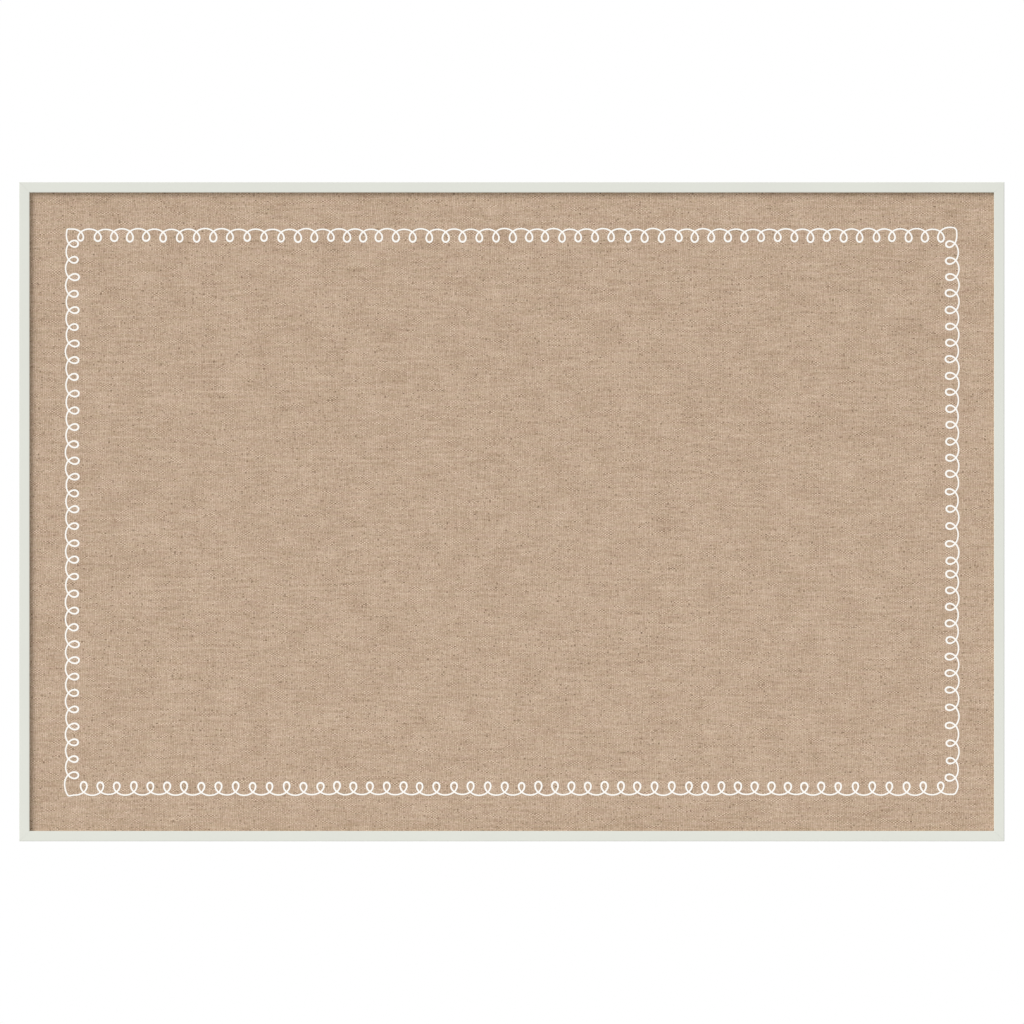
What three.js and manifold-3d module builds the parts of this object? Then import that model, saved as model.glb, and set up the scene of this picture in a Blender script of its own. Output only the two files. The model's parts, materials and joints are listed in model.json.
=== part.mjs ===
// A scalloped pinboard: linen over a softboard core and a pine strainer, in a slim painted frame.
// Millimetres. The wall is the plane y = 0 and the board's front faces -y, with x to the right and z up.
// The origin is on the wall behind the middle of the board.
import * as THREE from "three";
import { mergeVertices } from "three/addons/utils/BufferGeometryUtils.js";
import Module from "manifold-3d";

const wasm = await Module();
wasm.setup();

// Frame rails
const BOARD_WIDTH = 914;
const BOARD_HEIGHT = 611.5;
const FACE_WIDTH = 9.6;
const REBATE_WIDTH = 4;
const LIP_THICKNESS = 5.5;
const RAIL_DEPTH = 25.4;
const OUTER_EASE = 0.5;
const INNER_EASE = 0.5;
const MITRE_GAP = 0.05;

// Panel: linen, core and strainer
const PANEL_CLEARANCE = 0.8;
const LINEN_THICKNESS = 0.7;
const LINEN_RETURN = 18;
const CORE_THICKNESS = 9;
const BATTEN_WIDTH = 40;
const BATTEN_THICKNESS = 8;
const LAP_GAP = 0.3;

// Printed loop border
const BORDER_HALF_WIDTH = 413.6;
const BORDER_HALF_HEIGHT = 262;
const ARC_FLAT = 8;
const LOOP_HEIGHT = 11;
const LOOP_FLANK_X = 2.7;
const LOOP_FLANK_DROP = 6;
const LINE_WIDTH = 2;
const INK_THICKNESS = 0.4;
const CORNER_RADIUS = 4;
const CORNER_STEPS = 4;

// Fixings of the frame and the linen
const V_NAIL_LEG = 6;
const V_NAIL_STEEL = 0.5;
const V_NAIL_HEIGHT = 10;
const POINT_LENGTH = 16;
const POINT_WIDTH = 6.5;
const POINT_STEEL = 0.6;
const POINT_BITE = 4;
const POINT_ROUND_STEPS = 6;
const STAPLE_CROWN = 10;
const STAPLE_WIRE = 0.7;
const STAPLE_LEG = 6;
const STAPLE_INSET = 16;
const PIERCED_GAP = 0.15;

// Hangers and bumpers
const HANGER_INSET = 29.1;
const HANGER_DROP = 128;
const STRAP_WIDTH = 9.6;
const STRAP_LENGTH = 26;
const STRAP_STEEL = 0.9;
const STRAP_ROUND_STEPS = 10;
const BARREL_STEPS = 8;
const RING_WIRE = 2.2;
const RING_HALF_WIDTH = 9;
const RING_ARM = 4.5;
const RING_CORNER = 2.5;
const RING_SIDES = 8;
const RING_CORNER_STEPS = 3;
const RING_BOW_STEPS = 12;
const HINGE_GAP = 0.2;
const SCREW_DROPS = [8, 20];
const SCREW_SHANK = 2.8;
const SCREW_LENGTH = 9;
const SCREW_TAPER = 3;
const SCREW_HEAD = 5.5;
const SCREW_HEAD_HEIGHT = 1.9;
const RECESS_LENGTH = 3;
const RECESS_WIDTH = 0.7;
const RECESS_DEPTH = 1;
const BUMPER_HEIGHT = 4.5;
const BUMPER_RADIUS = 6;
const BUMPER_INSET = 9.5;
const BUMPER_EASE = 1.5;
const ROUND_SIDES = 12;

// Levels from the wall forward, and outlines worked out from the sizes above
const RETURN_BACK = -BUMPER_HEIGHT;
const BATTEN_BACK = RETURN_BACK - LINEN_THICKNESS;
const CORE_BACK = BATTEN_BACK - BATTEN_THICKNESS;
const CORE_FRONT = CORE_BACK - CORE_THICKNESS;
const LINEN_FRONT = CORE_FRONT - LINEN_THICKNESS;
const FRAME_FRONT = LINEN_FRONT - LIP_THICKNESS;
const FRAME_BACK = FRAME_FRONT + RAIL_DEPTH;
const RAIL_WALL = FACE_WIDTH - REBATE_WIDTH;
const PANEL_X = BOARD_WIDTH / 2 - RAIL_WALL - PANEL_CLEARANCE;
const PANEL_Z = BOARD_HEIGHT / 2 - RAIL_WALL - PANEL_CLEARANCE;
const CORE_X = PANEL_X - LINEN_THICKNESS;
const CORE_Z = PANEL_Z - LINEN_THICKNESS;
const BARREL_HOLE = RING_WIRE / 2 + HINGE_GAP;
const BARREL_RADIUS = BARREL_HOLE + STRAP_STEEL;
const STRAP_TOP = 2 * STRAP_STEEL;
const HINGE_Z = BOARD_HEIGHT / 2 - HANGER_DROP;
const SCREW_HOLE = SCREW_SHANK / 2 + PIERCED_GAP;
const PAST = 1;

// A side has x along it and z = 0 at the frame's outer edge, so that -z is inward.
// Each side carries the corner at its left end.
const SIDES = [
  { name: "top", corner: "top_left", turn: 0, points: 3, staples: 6, loops: 53, pitch: 15.3 },
  { name: "right", corner: "top_right", turn: Math.PI / 2, points: 2, staples: 4, loops: 33, pitch: 15.4 },
  { name: "bottom", corner: "bottom_right", turn: Math.PI, points: 3, staples: 6, loops: 52, pitch: 15.6 },
  { name: "left", corner: "bottom_left", turn: -Math.PI / 2, points: 2, staples: 4, loops: 33, pitch: 15.4 },
];
for (const side of SIDES) {
  side.upright = Math.abs(Math.sin(side.turn)) > 0.5;
  side.length = side.upright ? BOARD_HEIGHT : BOARD_WIDTH;
  side.out = side.upright ? BOARD_WIDTH / 2 : BOARD_HEIGHT / 2;
  side.place = new THREE.Matrix4().makeRotationY(side.turn).multiply(
    new THREE.Matrix4().makeTranslation(0, 0, side.out));
}

const paint = new THREE.MeshStandardMaterial({ color: "#e0e2d9", roughness: 0.45, metalness: 0 });
const linen = new THREE.MeshStandardMaterial({ color: "#bfa78f", roughness: 0.95, metalness: 0 });
const ink = new THREE.MeshStandardMaterial({ color: "#fdfbf7", roughness: 0.7, metalness: 0 });
const softboard = new THREE.MeshStandardMaterial({ color: "#a08a6c", roughness: 0.95, metalness: 0 });
const pine = new THREE.MeshStandardMaterial({ color: "#d9b98a", roughness: 0.7, metalness: 0 });
const steel = new THREE.MeshStandardMaterial({ color: "#b4b6b8", roughness: 0.35, metalness: 1 });
const rubber = new THREE.MeshStandardMaterial({ color: "#2e2e30", roughness: 0.8, metalness: 0 });

// Geometry becomes a solid to be joined or cut, and comes back as geometry
function solid(geometry) {
  const bare = new THREE.BufferGeometry();
  bare.setAttribute("position", geometry.attributes.position);
  bare.setIndex(geometry.index);
  const merged = mergeVertices(bare);
  return new wasm.Manifold(new wasm.Mesh({
    numProp: 3,
    vertProperties: new Float32Array(merged.attributes.position.array),
    triVerts: new Uint32Array(merged.index.array),
  }));
}

function geometryOf(body) {
  const mesh = body.getMesh();
  const geometry = new THREE.BufferGeometry();
  geometry.setAttribute("position", new THREE.BufferAttribute(mesh.vertProperties, 3));
  geometry.setIndex(new THREE.BufferAttribute(mesh.triVerts, 1));
  return geometry;
}

function cut(geometry, tools) {
  return geometryOf(tools.reduce((body, tool) => body.subtract(solid(tool)), solid(geometry)));
}

function reshape(geometry, move) {
  const at = geometry.attributes.position;
  for (let i = 0; i < at.count; i++) {
    at.setXYZ(i, ...move(at.getX(i), at.getY(i), at.getZ(i)));
  }
  return geometry;
}

// A block between two values on each axis, so that blocks that touch share a plane exactly
function block(x, y, z) {
  const pick = (range, value) => range[value > 0 ? 1 : 0];
  return reshape(new THREE.BoxGeometry(), (a, b, c) => [pick(x, a), pick(y, b), pick(z, c)]);
}

function extrude(outline, depth, holes = []) {
  const vectors = (points) => points.map(([a, b]) => new THREE.Vector2(a, b));
  const shape = new THREE.Shape(vectors(outline));
  shape.holes = holes.map((hole) => new THREE.Path(vectors(hole)));
  return new THREE.ExtrudeGeometry(shape, { depth, bevelEnabled: false });
}

// A flat plate with an outline of x and z, between two levels of y
function plate(outline, front, back, holes = []) {
  return extrude(outline, back - front, holes).rotateX(Math.PI / 2).translate(0, back, 0);
}

function arc(x, y, radius, from, to, steps) {
  return Array.from({ length: steps + 1 }, (_, i) => {
    const angle = from + ((to - from) * i) / steps;
    return [x + radius * Math.cos(angle), y + radius * Math.sin(angle)];
  });
}

function evenly(count, span) {
  return Array.from({ length: count }, (_, i) => ((i + 0.5) / count - 0.5) * span);
}

function piece(name, geometry, material, x = 0, z = 0) {
  const mesh = new THREE.Mesh(geometry, material);
  mesh.name = name;
  mesh.position.set(x, 0, z);
  return mesh;
}

const pointPlaces = (side) => evenly(side.points, side.length);
const staplePlaces = (side) => evenly(side.staples, side.length - 2 * BATTEN_WIDTH - 2 * RAIL_WALL);

// Rail: an L section with eased front edges, shortened at each end by its distance in, which mitres it.
// Its back has a slot at each end for a V-nail, and its rebate has a slot for each retaining point.
function rail(side) {
  const section = [
    [FRAME_FRONT + OUTER_EASE, 0],
    [FRAME_FRONT, -OUTER_EASE],
    [FRAME_FRONT, INNER_EASE - FACE_WIDTH],
    [FRAME_FRONT + INNER_EASE, -FACE_WIDTH],
    [LINEN_FRONT, -FACE_WIDTH],
    [LINEN_FRONT, -RAIL_WALL],
    [FRAME_BACK, -RAIL_WALL],
    [FRAME_BACK, 0],
  ];
  const mitred = reshape(extrude(section, 1), (y, z, end) => {
    const reach = side.length / 2 + z - MITRE_GAP;
    return [end > 0.5 ? reach : -reach, y, z];
  });
  const middle = -RAIL_WALL / 2;
  const nailHalf = V_NAIL_STEEL / 2 + PIERCED_GAP;
  const nailNear = side.length / 2 + middle + nailHalf;
  const nailFar = side.length / 2 + middle - V_NAIL_LEG - PIERCED_GAP;
  const nailDeep = [FRAME_BACK - V_NAIL_HEIGHT - 2 * PIERCED_GAP, FRAME_BACK + PAST];
  const nailSlots = [[nailFar, nailNear], [-nailNear, -nailFar]].map((along) =>
    block(along, nailDeep, [middle - nailHalf, middle + nailHalf]));
  const pointHalf = POINT_WIDTH / 2 + PIERCED_GAP;
  const pointDeep = [RETURN_BACK - PIERCED_GAP, RETURN_BACK + POINT_STEEL + PIERCED_GAP];
  const pointBite = [-RAIL_WALL - PAST, -RAIL_WALL + POINT_BITE + PIERCED_GAP];
  const pointSlots = pointPlaces(side).map((x) =>
    block([x - pointHalf, x + pointHalf], pointDeep, pointBite));
  return cut(mitred, [...nailSlots, ...pointSlots]);
}

// V-nail: a bent steel strip across a mitre, with one leg along the middle of each rail's wall
function vNail() {
  const half = V_NAIL_STEEL / 2;
  const leg = V_NAIL_LEG;
  const outline = [[-half, half], [-half, -leg], [half, -leg], [half, -half], [leg, -half], [leg, half]];
  return plate(outline, FRAME_BACK - PIERCED_GAP - V_NAIL_HEIGHT, FRAME_BACK - PIERCED_GAP);
}

// Retaining point: a flat steel tab, its arrow end in the rail's wall and its tail on the panel's back
function retainingPoint() {
  const half = POINT_WIDTH / 2;
  const tip = POINT_BITE - RAIL_WALL;
  const tail = tip - POINT_LENGTH;
  const round = arc(0, tail + half, half, Math.PI, 2 * Math.PI, POINT_ROUND_STEPS);
  const outline = [[0, tip], [-half, -RAIL_WALL], ...round, [half, -RAIL_WALL]];
  return plate(outline, RETURN_BACK, RETURN_BACK + POINT_STEEL);
}

// Staple: a wire crown on the linen's return, with two legs through it into the batten
function staple() {
  const half = STAPLE_CROWN / 2;
  const inner = half - STAPLE_WIRE;
  const tip = RETURN_BACK - STAPLE_LEG;
  const crown = RETURN_BACK + STAPLE_WIRE;
  const outline = [
    [-half, tip], [-inner, tip], [-inner, RETURN_BACK], [inner, RETURN_BACK],
    [inner, tip], [half, tip], [half, crown], [-half, crown],
  ];
  return extrude(outline, STAPLE_WIRE).translate(0, 0, -STAPLE_INSET - STAPLE_WIRE / 2);
}

// The holes that all the staples make
function stapleHoles() {
  const reach = STAPLE_CROWN / 2 - STAPLE_WIRE / 2;
  const half = STAPLE_WIRE / 2 + PIERCED_GAP;
  const deep = [RETURN_BACK - STAPLE_LEG - 2 * PIERCED_GAP, RETURN_BACK + PAST];
  const across = [-STAPLE_INSET - half, -STAPLE_INSET + half];
  return SIDES.flatMap((side) => {
    const legs = staplePlaces(side).flatMap((x) => [x - reach, x + reach]);
    return legs.map((x) => block([x - half, x + half], deep, across).applyMatrix4(side.place));
  });
}

function hangerX(hand) {
  return hand * (PANEL_X - HANGER_INSET);
}

// The screw holes of both hangers, through the side battens
function screwHoles() {
  const long = BATTEN_THICKNESS + 2 * PAST;
  const middle = BATTEN_BACK - BATTEN_THICKNESS / 2;
  return [-1, 1].flatMap((hand) => SCREW_DROPS.map((drop) =>
    new THREE.CylinderGeometry(SCREW_HOLE, SCREW_HOLE, long, ROUND_SIDES)
      .translate(hangerX(hand), middle, HINGE_Z - drop)));
}

function holesWithin(holes, x, z) {
  return holes.filter((hole) => {
    hole.computeBoundingBox();
    const { min, max } = hole.boundingBox;
    return max.x > x[0] && min.x < x[1] && max.z > z[0] && min.z < z[1];
  });
}

// Linen cover: one sheet over the front and the edges, with a return turned onto the strainer's back
function linenCover() {
  const wrapped = block([-PANEL_X, PANEL_X], [LINEN_FRONT, RETURN_BACK], [-PANEL_Z, PANEL_Z]);
  const inside = block([-CORE_X, CORE_X], [CORE_FRONT, BATTEN_BACK], [-CORE_Z, CORE_Z]);
  const openX = PANEL_X - LINEN_RETURN;
  const openZ = PANEL_Z - LINEN_RETURN;
  const opening = block([-openX, openX], [BATTEN_BACK - PAST, RETURN_BACK + PAST], [-openZ, openZ]);
  return cut(wrapped, [inside, opening, ...stapleHoles()]);
}

// Long battens run the board's whole width. Their front half is housed for the uprights.
function longBatten(z) {
  const halfway = CORE_BACK + BATTEN_THICKNESS / 2;
  const housing = BATTEN_WIDTH / 2 + LAP_GAP;
  const middles = [BATTEN_WIDTH / 2 - CORE_X, 0, CORE_X - BATTEN_WIDTH / 2];
  const housings = middles.map((x) =>
    block([x - housing, x + housing], [CORE_BACK - PAST, halfway], [z[0] - PAST, z[1] + PAST]));
  const holes = holesWithin(stapleHoles(), [-CORE_X, CORE_X], z);
  return cut(block([-CORE_X, CORE_X], [CORE_BACK, BATTEN_BACK], z), [...housings, ...holes]);
}

// Uprights are the side battens and the centre brace, each with a half-lapped tongue at both ends
function upright(x) {
  const halfway = CORE_BACK + BATTEN_THICKNESS / 2 - LAP_GAP;
  const shoulder = CORE_Z - BATTEN_WIDTH - LAP_GAP;
  const laps = [[shoulder, CORE_Z + PAST], [-CORE_Z - PAST, -shoulder]].map((z) =>
    block([x[0] - PAST, x[1] + PAST], [halfway, BATTEN_BACK + PAST], z));
  const holes = holesWithin([...stapleHoles(), ...screwHoles()], x, [-shoulder, shoulder]);
  return cut(block(x, [CORE_BACK, BATTEN_BACK], [-CORE_Z, CORE_Z]), [...laps, ...holes]);
}

// One loop of the border about its own axis x = 0, with y = 0 along the tops of the arcs.
// The line leaves an arc's flat top, crosses the axis, turns at the flank and meets itself at the tip.
function borderLoop(pitch) {
  const half = LINE_WIDTH / 2;
  const start = new THREE.Vector2((ARC_FLAT - pitch) / 2, 0);
  const flank = new THREE.Vector2(LOOP_FLANK_X, -LOOP_FLANK_DROP);
  const level = new THREE.Vector2(1, 0);
  const down = flank.clone().sub(start).normalize();
  const back = new THREE.Vector2(0, -LOOP_HEIGHT).sub(flank).normalize();
  const edge = (point, before, after, hand) => {
    const along = before.clone().add(after).normalize();
    const reach = (hand * half) / along.dot(before);
    return [point.x - along.y * reach, point.y + along.x * reach];
  };
  const mirror = ([x, y]) => [-x, y];
  const crossing = -start.x * (down.y / down.x);
  const upperStart = edge(start, level, down, 1);
  const lowerStart = edge(start, level, down, -1);
  const flankOuter = edge(flank, down, back, 1);
  const flankInner = edge(flank, down, back, -1);
  const armpit = [half / down.y, crossing];
  return {
    upper: [upperStart, [0, crossing + half / down.x], mirror(upperStart)],
    lower: [
      lowerStart, armpit, mirror(flankOuter), [0, -LOOP_HEIGHT - half],
      flankOuter, mirror(armpit), mirror(lowerStart),
    ],
    hole: [[0, crossing - half / down.x], flankInner, [0, half - LOOP_HEIGHT], mirror(flankInner)],
  };
}

// Loop border: one printed line round the board, with a loop at each scallop and rounded corners
function loopBorder() {
  const outer = [];
  const inner = [];
  const holes = [];
  for (const side of SIDES) {
    const end = side.upright ? BORDER_HALF_HEIGHT : BORDER_HALF_WIDTH;
    const out = side.upright ? BORDER_HALF_WIDTH : BORDER_HALF_HEIGHT;
    const [cos, sin] = [Math.round(Math.cos(side.turn)), Math.round(Math.sin(side.turn))];
    const place = (points, x) =>
      points.map(([a, b]) => [(a + x) * cos + (b + out) * sin, (b + out) * cos - (a + x) * sin]);
    const corner = (radius) =>
      arc(CORNER_RADIUS, -CORNER_RADIUS, radius, Math.PI, Math.PI / 2, CORNER_STEPS);
    outer.push(...place(corner(CORNER_RADIUS + LINE_WIDTH / 2), -end));
    inner.push(...place(corner(CORNER_RADIUS - LINE_WIDTH / 2), -end));
    const loop = borderLoop(side.pitch);
    for (const x of evenly(side.loops, side.loops * side.pitch)) {
      outer.push(...place(loop.upper, x));
      inner.push(...place(loop.lower, x));
      holes.push(place(loop.hole, x));
    }
  }
  return plate(outer.reverse(), LINEN_FRONT - INK_THICKNESS, LINEN_FRONT, [inner, ...holes]);
}

// Hanger strap: one steel strip folded round the ring's bar, its two layers lying flat on the batten.
// Its lower end is round, and two screws go through both layers.
function hangerStrap() {
  const meets = Math.asin(1 - STRAP_TOP / BARREL_RADIUS);
  const section = new THREE.Shape();
  section.moveTo(-STRAP_LENGTH, 0);
  section.lineTo(0, 0);
  section.absarc(0, BARREL_RADIUS, BARREL_RADIUS, -Math.PI / 2, Math.PI + meets, false);
  section.lineTo(-STRAP_LENGTH, STRAP_TOP);
  const bore = new THREE.Path();
  bore.absarc(0, BARREL_RADIUS, BARREL_HOLE, 0, 2 * Math.PI, true);
  section.holes.push(bore);
  const half = STRAP_WIDTH / 2;
  const along = { depth: STRAP_WIDTH, bevelEnabled: false, curveSegments: BARREL_STEPS };
  const folded = new THREE.ExtrudeGeometry(section, along)
    .rotateY(-Math.PI / 2)
    .translate(half, BATTEN_BACK, 0);
  const round = arc(0, half - STRAP_LENGTH, half, Math.PI, 2 * Math.PI, STRAP_ROUND_STEPS);
  const outline = plate([...round, [half, 2 * half], [-half, 2 * half]], BATTEN_BACK - PAST, PAST);
  const through = STRAP_TOP + 2 * PAST;
  const holes = SCREW_DROPS.map((drop) =>
    new THREE.CylinderGeometry(SCREW_HOLE, SCREW_HOLE, through, ROUND_SIDES)
      .translate(0, BATTEN_BACK + STRAP_STEEL, -drop));
  return cut(geometryOf(solid(folded).intersect(solid(outline))), holes);
}

// Hanger ring: a closed D of round wire, its straight bar on the hinge
function hangerRing() {
  const bar = RING_HALF_WIDTH - RING_CORNER;
  const path = [
    ...arc(bar, RING_CORNER, RING_CORNER, -Math.PI / 2, 0, RING_CORNER_STEPS),
    ...arc(0, RING_ARM, RING_HALF_WIDTH, 0, Math.PI, RING_BOW_STEPS),
    ...arc(-bar, RING_CORNER, RING_CORNER, Math.PI, 1.5 * Math.PI, RING_CORNER_STEPS),
  ].map(([x, z]) => new THREE.Vector2(x, z));
  const count = path.length;
  const positions = [];
  const triangles = [];
  path.forEach((point, i) => {
    const before = point.clone().sub(path[(i + count - 1) % count]).normalize();
    const along = path[(i + 1) % count].clone().sub(point).normalize().add(before).normalize();
    const widen = 1 / along.dot(before);
    for (let k = 0; k < RING_SIDES; k++) {
      const angle = (2 * Math.PI * (k + 0.5)) / RING_SIDES;
      const out = (RING_WIRE / 2) * Math.cos(angle) * widen;
      const back = (RING_WIRE / 2) * Math.sin(angle);
      positions.push(point.x + along.y * out, BATTEN_BACK + BARREL_RADIUS + back, point.y - along.x * out);
      const [a, b] = [i * RING_SIDES + k, i * RING_SIDES + ((k + 1) % RING_SIDES)];
      const [c, d] = [a, b].map((index) => (index + RING_SIDES) % (count * RING_SIDES));
      triangles.push(a, b, c, b, d, c);
    }
  });
  const geometry = new THREE.BufferGeometry();
  geometry.setAttribute("position", new THREE.Float32BufferAttribute(positions, 3));
  geometry.setIndex(triangles);
  return geometry;
}

// Hanger screw: a pan head on the strap with a crossed recess, and a tapered shank in the batten
function hangerScrew() {
  const seat = BATTEN_BACK + STRAP_TOP;
  const top = seat + SCREW_HEAD_HEIGHT;
  const profile = [
    [0, seat - SCREW_LENGTH],
    [SCREW_SHANK / 2, seat - SCREW_LENGTH + SCREW_TAPER],
    [SCREW_SHANK / 2, seat],
    [SCREW_HEAD / 2, seat],
    [SCREW_HEAD / 2, seat + SCREW_HEAD_HEIGHT / 2],
    [SCREW_HEAD / 3, top],
    [0, top],
  ].map(([radius, y]) => new THREE.Vector2(radius, y));
  const deep = [top - RECESS_DEPTH, top + PAST];
  const long = [-RECESS_LENGTH / 2, RECESS_LENGTH / 2];
  const narrow = [-RECESS_WIDTH / 2, RECESS_WIDTH / 2];
  const recess = [block(long, deep, narrow), block(narrow, deep, long)];
  return cut(new THREE.LatheGeometry(profile, ROUND_SIDES), recess);
}

// Bumper: a rubber foot stuck to the linen's return at each corner, which keeps the board off the wall
function bumper() {
  const profile = [
    [0, RETURN_BACK],
    [BUMPER_RADIUS, RETURN_BACK],
    [BUMPER_RADIUS, -BUMPER_EASE],
    [BUMPER_RADIUS - BUMPER_EASE, 0],
    [0, 0],
  ].map(([radius, y]) => new THREE.Vector2(radius, y));
  return new THREE.LatheGeometry(profile, 2 * ROUND_SIDES);
}

const board = new THREE.Group();
for (const side of SIDES) {
  const group = new THREE.Group();
  group.applyMatrix4(side.place);
  group.add(piece(`frame_rail_${side.name}`, rail(side), paint));
  const nailX = (RAIL_WALL - side.length) / 2;
  group.add(piece(`v_nail_${side.corner}`, vNail(), steel, nailX, -RAIL_WALL / 2));
  pointPlaces(side).forEach((x, i) =>
    group.add(piece(`retaining_point_${side.name}_${i + 1}`, retainingPoint(), steel, x)));
  staplePlaces(side).forEach((x, i) =>
    group.add(piece(`linen_staple_${side.name}_${i + 1}`, staple(), steel, x)));
  board.add(group);
}

const core = block([-CORE_X, CORE_X], [CORE_FRONT, CORE_BACK], [-CORE_Z, CORE_Z]);
board.add(piece("linen_cover", linenCover(), linen));
board.add(piece("loop_border", loopBorder(), ink));
board.add(piece("core_board", core, softboard));
board.add(piece("strainer_batten_top", longBatten([CORE_Z - BATTEN_WIDTH, CORE_Z]), pine));
board.add(piece("strainer_batten_bottom", longBatten([-CORE_Z, BATTEN_WIDTH - CORE_Z]), pine));
board.add(piece("strainer_batten_left", upright([-CORE_X, BATTEN_WIDTH - CORE_X]), pine));
board.add(piece("strainer_batten_right", upright([CORE_X - BATTEN_WIDTH, CORE_X]), pine));
board.add(piece("strainer_centre_brace", upright([-BATTEN_WIDTH / 2, BATTEN_WIDTH / 2]), pine));

for (const [hand, name] of [[-1, "left"], [1, "right"]]) {
  board.add(piece(`hanger_strap_${name}`, hangerStrap(), steel, hangerX(hand), HINGE_Z));
  board.add(piece(`hanger_ring_${name}`, hangerRing(), steel, hangerX(hand), HINGE_Z));
  SCREW_DROPS.forEach((drop, i) =>
    board.add(piece(`hanger_screw_${name}_${i + 1}`, hangerScrew(), steel, hangerX(hand), HINGE_Z - drop)));
  for (const [end, level] of [[1, "top"], [-1, "bottom"]]) {
    const x = hand * (PANEL_X - BUMPER_INSET);
    board.add(piece(`wall_bumper_${level}_${name}`, bumper(), rubber, x, end * (PANEL_Z - BUMPER_INSET)));
  }
}

export default board;
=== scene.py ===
# A scalloped pinboard: linen over softboard on a pine strainer, in a slim painted frame.
# Metres. The wall is the plane y = 0 and the board faces -y, with x to the right and z up.
import json
import math
import random

import bmesh
import bpy
from mathutils import Matrix, Vector
from mathutils.geometry import interpolate_bezier


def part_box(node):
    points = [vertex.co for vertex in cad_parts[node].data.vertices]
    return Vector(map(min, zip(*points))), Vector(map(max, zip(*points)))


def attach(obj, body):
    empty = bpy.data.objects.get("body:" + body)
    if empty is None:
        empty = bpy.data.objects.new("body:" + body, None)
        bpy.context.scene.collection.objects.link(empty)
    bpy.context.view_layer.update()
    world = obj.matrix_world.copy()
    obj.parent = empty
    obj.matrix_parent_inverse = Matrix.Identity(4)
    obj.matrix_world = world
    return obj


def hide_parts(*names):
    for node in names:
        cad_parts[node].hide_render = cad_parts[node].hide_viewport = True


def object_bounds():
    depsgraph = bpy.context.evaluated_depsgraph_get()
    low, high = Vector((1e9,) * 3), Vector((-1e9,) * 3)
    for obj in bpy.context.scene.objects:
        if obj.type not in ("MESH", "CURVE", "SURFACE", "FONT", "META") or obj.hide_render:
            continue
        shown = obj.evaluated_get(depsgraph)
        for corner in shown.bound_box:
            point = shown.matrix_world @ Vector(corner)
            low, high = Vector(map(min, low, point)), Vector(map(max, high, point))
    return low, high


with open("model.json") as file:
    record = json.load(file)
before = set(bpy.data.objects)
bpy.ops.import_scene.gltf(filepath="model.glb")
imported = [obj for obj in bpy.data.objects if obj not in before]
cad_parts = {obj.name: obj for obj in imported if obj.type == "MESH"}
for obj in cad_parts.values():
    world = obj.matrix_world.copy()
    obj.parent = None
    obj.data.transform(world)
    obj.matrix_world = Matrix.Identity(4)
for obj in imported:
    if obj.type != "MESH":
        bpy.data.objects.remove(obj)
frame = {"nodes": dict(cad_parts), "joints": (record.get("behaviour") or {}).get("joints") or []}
cad_low, cad_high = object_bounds()
bpy.ops.object.select_all(action="DESELECT")

# Core board
# A sheet of softboard that takes the pins. It is pressed from wet wood pulp, so its back is mottled
# and felted, with short fibres lying every way. It lies loose on the strainer, under the linen.
MM = 0.001


def colour(code):
    """An sRGB hex value as linear red, green, blue and alpha."""
    parts = [int(code[i:i + 2], 16) / 255 for i in (1, 3, 5)]
    linear = [part / 12.92 if part <= 0.04045 else ((part + 0.055) / 1.055) ** 2.4 for part in parts]
    return (*linear, 1)


def add(tree, kind, sockets, **settings):
    """A node with its settings, socket values and links. A linked node gives its first output."""
    made = tree.nodes.new("ShaderNode" + kind)
    for name, value in settings.items():
        setattr(made, name, value)
    for name, value in sockets.items():
        if isinstance(value, bpy.types.Node):
            value = value.outputs[0]
        if isinstance(value, bpy.types.NodeSocket):
            tree.links.new(value, made.inputs[name])
        else:
            made.inputs[name].default_value = value
    return made


def new_material(name):
    """An empty node material and its tree."""
    made = bpy.data.materials.new(name)
    made.use_nodes = True
    made.node_tree.nodes.clear()
    return made, made.node_tree


def dress(piece, material):
    """Gives a piece its one material."""
    if not piece.material_slots:
        piece.data.materials.append(material)
    for slot in piece.material_slots:
        slot.material = material


def softboard():
    """Softboard: matt and tan, with darker pulp clouds and pale fibres that cross each other."""
    made, tree = new_material("softboard")
    place = add(tree, "TexCoord", {}).outputs["Object"]
    pulp_size = 11 * MM
    pulp = add(tree, "TexNoise", {"Vector": place, "Scale": 1 / pulp_size, "Detail": 6, "Roughness": 0.7})
    clouds = add(tree, "MapRange", {"Value": pulp, "From Min": 0.3, "From Max": 0.7})
    tone = add(tree, "MixRGB", {"Fac": clouds, "Color1": colour("#846c51"), "Color2": colour("#a58d6e")})
    fibre_length = 5 * MM
    fibre_width = 0.7 * MM
    for angle, shade in ((20, "#c8b391"), (80, "#6e573f"), (140, "#bfa985"), (110, "#c3ad8a")):
        turned = add(tree, "Mapping", {"Vector": place, "Rotation": (0, math.radians(angle), 0)})
        drawn = add(tree, "Mapping", {"Vector": turned, "Scale": (1 / fibre_length, 1, 1 / fibre_width)})
        fibre = add(tree, "TexNoise", {"Vector": drawn, "Scale": 1, "Detail": 2, "Distortion": 0.6})
        strand = add(tree, "MapRange", {"Value": fibre, "From Min": 0.56, "From Max": 0.72, "To Max": 0.42})
        tone = add(tree, "MixRGB", {"Fac": strand, "Color1": tone, "Color2": colour(shade)})
    felt = add(tree, "Bump", {"Height": strand, "Strength": 0.5, "Distance": 0.3 * MM})
    shader = add(tree, "BsdfPrincipled", {"Base Color": tone, "Roughness": 0.95, "Normal": felt})
    add(tree, "OutputMaterial", {"Surface": shader})
    return made


dress(frame["nodes"]["core_board"], softboard())

# Strainer
# Five planed pine battens, half-lapped into one flat frame that keeps the softboard stiff. The long
# ones run right across, the uprights tuck in behind them, and each arris is eased with sandpaper.
batten_arris = 0.7 * MM
shortest_batten_edge = 25 * MM
merge_gap = 0.001 * MM
sharp_angle = math.radians(25)
crease_angle = math.radians(40)
flat_angle = math.radians(0.5)


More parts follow.
